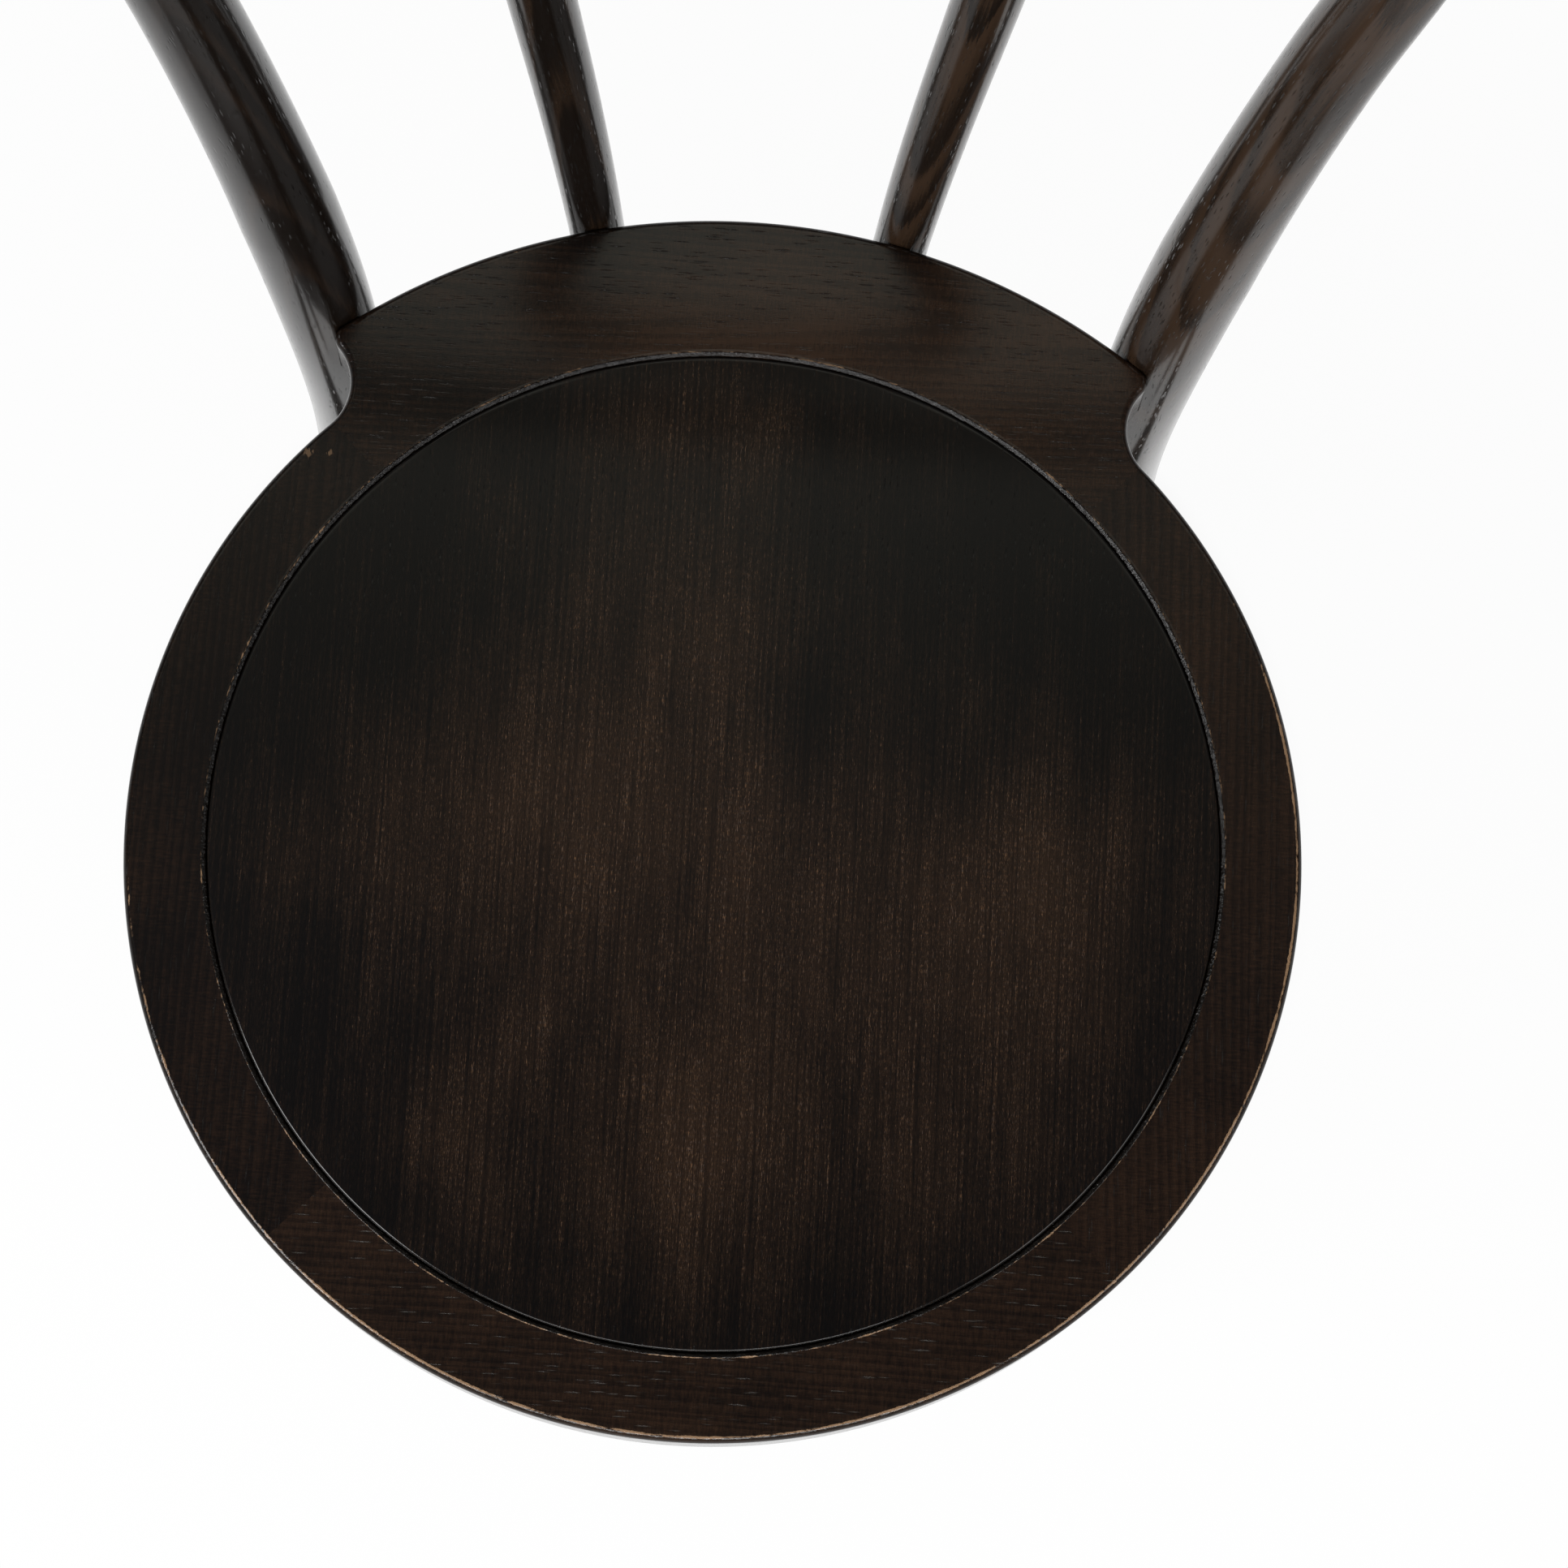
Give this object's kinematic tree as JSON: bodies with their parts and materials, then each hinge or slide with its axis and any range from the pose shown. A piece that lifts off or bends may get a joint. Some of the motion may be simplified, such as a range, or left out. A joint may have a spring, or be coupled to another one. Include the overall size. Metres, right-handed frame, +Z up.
{
  "type": "bentwood chair",
  "caption": "Armless bentwood side chair: round panel seat in a mitred rim, bent bow that forms rear legs and back, inner hoop, tapered front legs and a bent ring between the legs.",
  "frame": {"origin": "on the floor, under the middle of the chair's box", "axes": "+Z up; the chair faces -Y, its back is towards +Y, and +X is to the right seen from in front"},
  "size_m": [0.4316, 0.5024, 0.8934],
  "materials": {
    "bent_wood": "black-brown stain under satin lacquer, grain along the rod",
    "rim_wood": "black-brown stain under satin lacquer, edges rubbed to lighter wood",
    "panel_veneer": "black-brown stained veneer under satin lacquer, grain front to back",
    "bare_wood": "raw plywood",
    "zinc_steel": "zinc plated",
    "glide_plastic": "moulded, matt"
  },
  "bodies": {
    "root": {"back_bow": "bent_wood", "barrel_nut_left": "zinc_steel", "barrel_nut_right": "zinc_steel", "bolt_washer_left": "zinc_steel", "bolt_washer_right": "zinc_steel", "foot_glide_front_left": "glide_plastic", "foot_glide_front_right": "glide_plastic", "foot_glide_rear_left": "glide_plastic", "foot_glide_rear_right": "glide_plastic", "front_leg_left": "bent_wood", "front_leg_right": "bent_wood", "hoop_screw_left": "zinc_steel", "hoop_screw_right": "zinc_steel", "inner_hoop": "bent_wood", "leg_lock_screw_left": "zinc_steel", "leg_lock_screw_right": "zinc_steel", "leg_ring": "bent_wood", "rim_front": "rim_wood", "rim_left": "rim_wood", "rim_rear": "rim_wood", "rim_right": "rim_wood", "rim_spline_front_left": "bare_wood", "rim_spline_front_right": "bare_wood", "rim_spline_rear_left": "bare_wood", "rim_spline_rear_right": "bare_wood", "ring_screw_front_left": "zinc_steel", "ring_screw_front_right": "zinc_steel", "ring_screw_rear_left": "zinc_steel", "ring_screw_rear_right": "zinc_steel", "seat_bolt_left": "zinc_steel", "seat_bolt_right": "zinc_steel", "seat_panel": "panel_veneer"}
  },
  "joints": []
}
